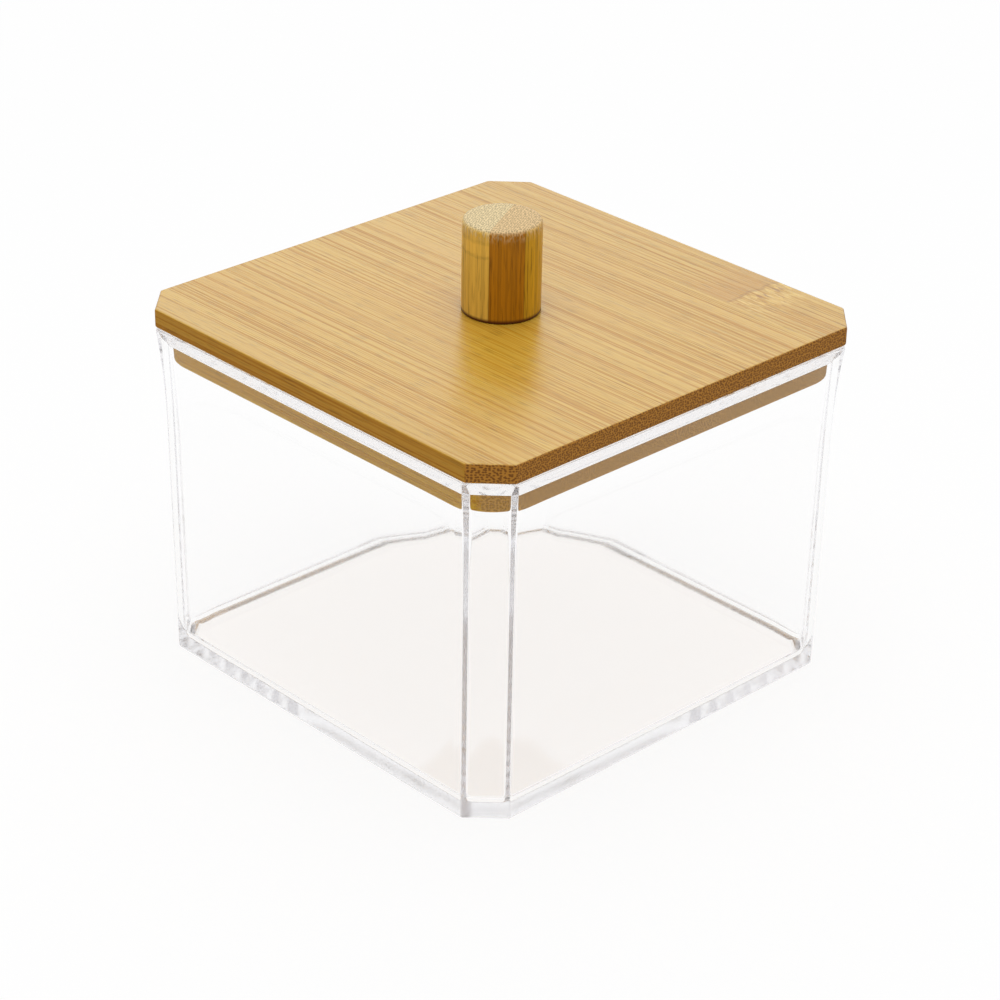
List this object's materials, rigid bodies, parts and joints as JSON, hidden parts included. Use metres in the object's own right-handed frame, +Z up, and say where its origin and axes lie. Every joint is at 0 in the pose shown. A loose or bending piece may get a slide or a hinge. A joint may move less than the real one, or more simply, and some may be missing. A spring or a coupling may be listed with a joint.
{
  "type": "makeup organizer",
  "caption": "Square clear plastic tub with cut corners and a lift-off bamboo lid with a round knob, for cotton pads and small cosmetics.",
  "frame": {"origin": "middle of the tub's underside, on the surface that it stands on", "axes": "+Z up through the knob; X and Y run square to the tub's flat sides; the bamboo's grain in the lid runs along Y"},
  "size_m": [0.1004, 0.1004, 0.0939],
  "materials": {
    "clear_plastic": "clear injection-moulded polystyrene, glossy",
    "bamboo_board": "pale honey bamboo, sanded and thinly lacquered, grain along Y",
    "bamboo_knob": "turned bamboo dowel of glued strips, darker than the board, thinly lacquered",
    "screw_steel": "zinc-plated steel"
  },
  "bodies": {
    "tub": {"clear_tub": "clear_plastic"},
    "lid": {"lid_board": "bamboo_board", "lid_plug_board": "bamboo_board", "lid_knob": "bamboo_knob", "knob_screw": "screw_steel"}
  },
  "joints": [
    {"name": "lid_lift", "type": "slide", "parent": "tub", "child": "lid", "axis": [0, 0, 1], "range_m": [0, 0.06]}
  ]
}
